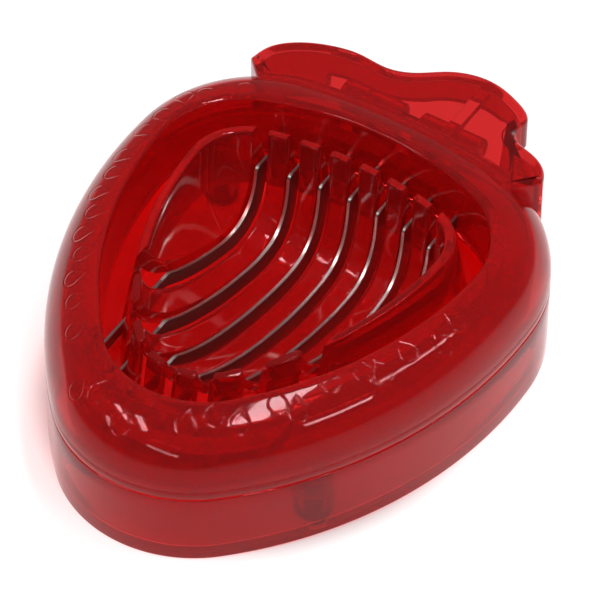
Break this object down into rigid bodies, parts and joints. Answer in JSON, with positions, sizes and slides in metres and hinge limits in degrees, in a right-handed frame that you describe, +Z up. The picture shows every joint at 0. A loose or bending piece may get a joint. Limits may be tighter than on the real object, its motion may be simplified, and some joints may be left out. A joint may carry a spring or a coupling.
{
  "type": "strawberry slicer",
  "caption": "Strawberry-shaped hand slicer: a hinged hollow frame presses curved blades through a slotted bowl.",
  "frame": {"origin": "on the table, under the middle of the whole object's box", "axes": "+Z up, +Y from the pointed tip towards the leaf cap, +X to the right seen from the tip"},
  "size_m": [0.0828, 0.1071, 0.029],
  "materials": {
    "red_plastic": "polished transparent moulding",
    "blade_steel": "ground and polished strip",
    "pin_steel": "plain turned steel"
  },
  "bodies": {
    "base": {"base_shell": "red_plastic", "slotted_bowl": "red_plastic", "bowl_screws": "pin_steel", "hinge_pin": "pin_steel"},
    "frame": {"blade_frame": "red_plastic", "blade_retainer": "red_plastic", "rear_blade_comb": "red_plastic", "front_blade_comb": "red_plastic", "leaf_cap": "red_plastic", "blade_1": "blade_steel", "blade_2": "blade_steel", "blade_3": "blade_steel", "blade_4": "blade_steel", "blade_5": "blade_steel", "blade_6": "blade_steel", "blade_7": "blade_steel"}
  },
  "joints": [
    {"name": "frame_hinge", "type": "hinge", "parent": "base", "child": "frame", "pos_m": [0, 0.0412, 0.0215], "axis": [-1, 0, 0], "range_deg": [0, 60]}
  ]
}
